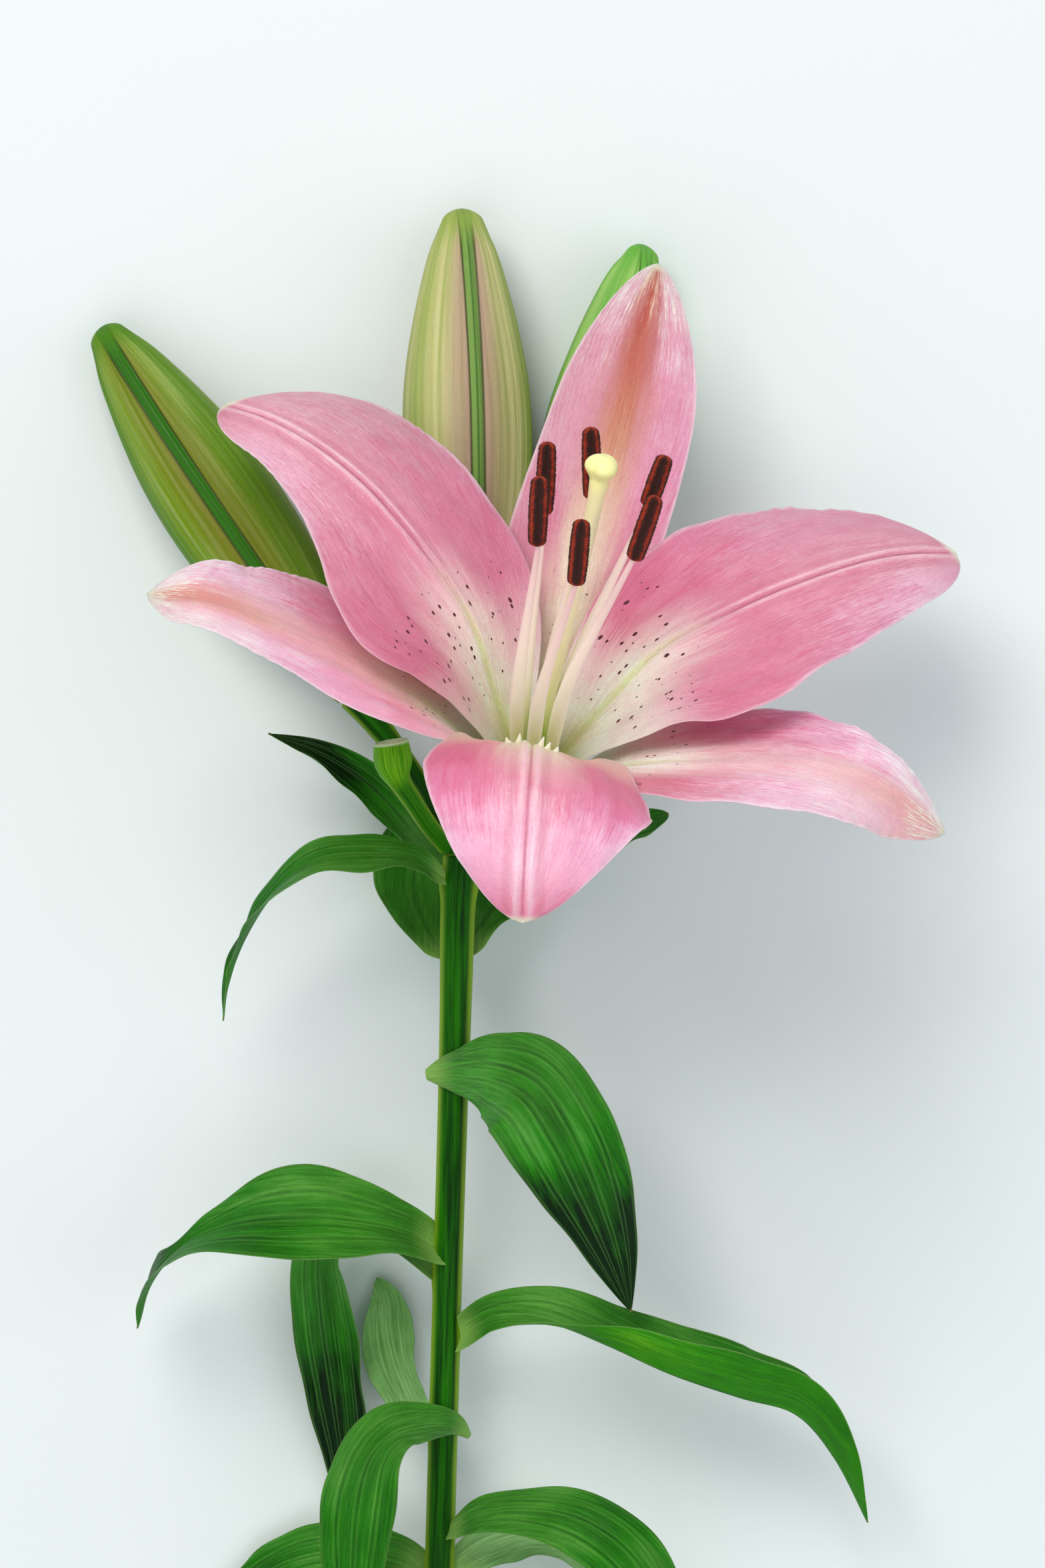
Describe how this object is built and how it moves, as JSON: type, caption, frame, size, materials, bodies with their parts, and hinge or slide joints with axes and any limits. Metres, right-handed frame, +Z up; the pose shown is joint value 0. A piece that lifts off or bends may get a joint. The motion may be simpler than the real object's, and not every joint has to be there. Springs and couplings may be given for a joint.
{
  "type": "cut lily stem",
  "caption": "Cut lily lying flat: an open pink trumpet flower with long anthers, closed green buds, a spent bud stub and a leafy green stem.",
  "frame": {"origin": "centre of the bounding box in plan, at the height of the surface the flower lies on", "axes": "+Y from the cut end of the stem toward the flower and the bud tips, +Z up from the surface, out of the open flower's front, +X to the right seen from above"},
  "size_m": [0.1858, 0.396, 0.1267],
  "materials": {
    "petal": "satin",
    "leaf": "satin",
    "stem": "satin",
    "bud": "satin",
    "filament": "satin",
    "anther": "matte",
    "pistil": "satin"
  },
  "bodies": {
    "root": {"stem": "stem", "stalk_flower": "stem", "stalk_left": "stem", "stalk_middle": "stem", "stalk_right": "stem", "stalk_stub": "stem", "bud_left": "bud", "bud_middle": "bud", "bud_right": "bud", "petal_front": "petal", "petal_right": "petal", "petal_left": "petal", "sepal_right": "petal", "sepal_back": "petal", "sepal_left": "petal", "filament_front": "filament", "anther_front": "anther", "filament_front_right": "filament", "anther_front_right": "anther", "filament_back_right": "filament", "anther_back_right": "anther", "filament_back": "filament", "anther_back": "anther", "filament_back_left": "filament", "anther_back_left": "anther", "filament_front_left": "filament", "anther_front_left": "anther", "pistil": "pistil", "leaf_top_left": "leaf", "leaf_top_left_back": "leaf", "leaf_top_right": "leaf", "leaf_top_back": "leaf", "leaf_right_broad": "leaf", "leaf_left_broad": "leaf", "leaf_right_long": "leaf", "leaf_left_dark": "leaf", "leaf_back_pale": "leaf", "leaf_front_left": "leaf", "leaf_right_low": "leaf", "leaf_right_low_back": "leaf", "leaf_left_low": "leaf"}
  },
  "joints": []
}
